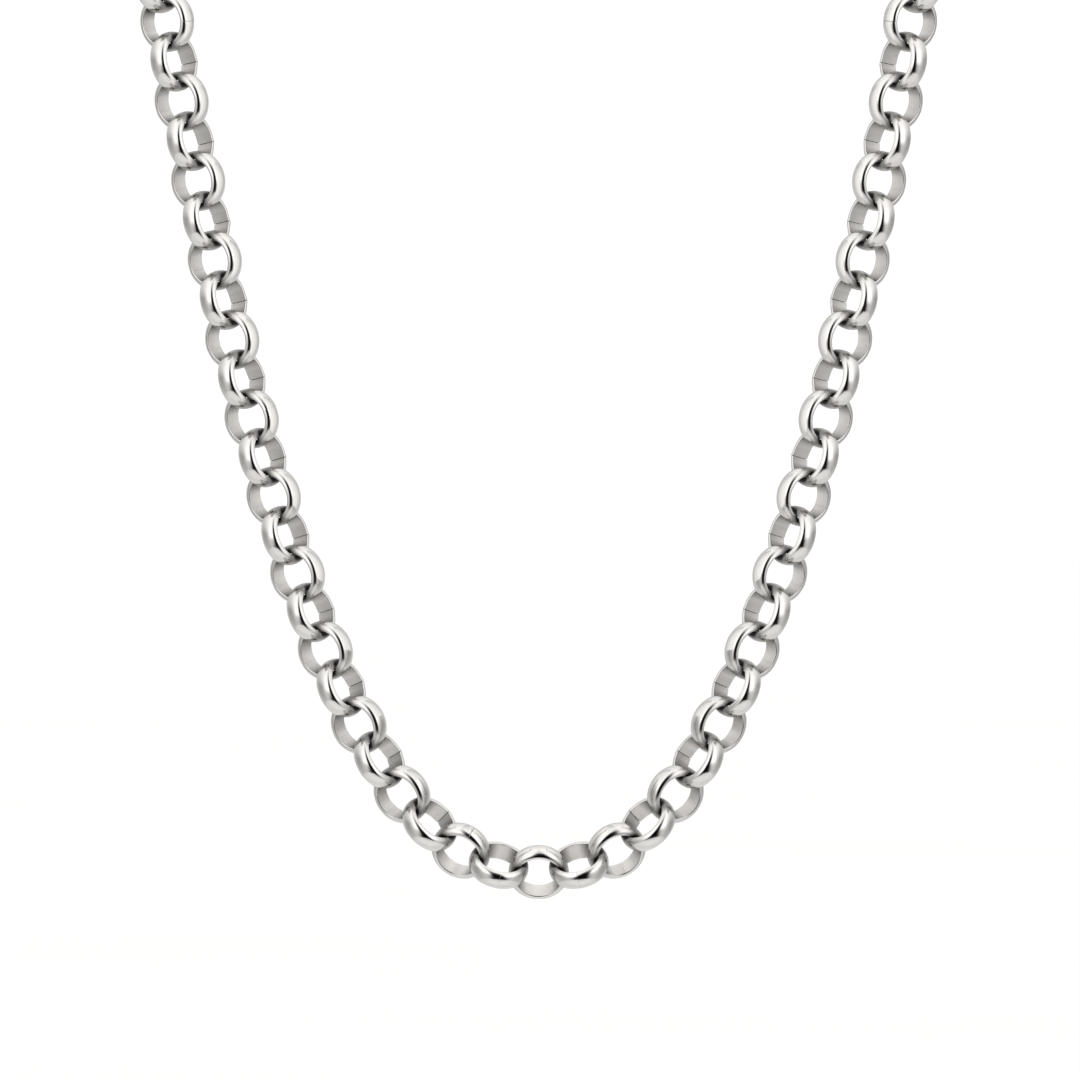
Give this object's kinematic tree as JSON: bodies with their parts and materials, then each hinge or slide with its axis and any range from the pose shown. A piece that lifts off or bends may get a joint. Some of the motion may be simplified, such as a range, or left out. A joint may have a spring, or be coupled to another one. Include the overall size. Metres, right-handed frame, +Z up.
{
  "type": "rolo chain necklace",
  "caption": "Rolo chain necklace: a closed loop of round half-round-wire steel links with a plain clasp at the nape, held in its worn shape.",
  "frame": {"origin": "middle of the clasp's inner face, where the loop rests on the back of the neck", "axes": "+Z up, -Y towards the front of the wearer and the viewer, +X to the viewer's right"},
  "size_m": [0.117, 0.1058, 0.1586],
  "materials": {
    "polished_steel": "polished"
  },
  "bodies": {
    "root": {"chain": "polished_steel", "clasp": "polished_steel"}
  },
  "joints": []
}
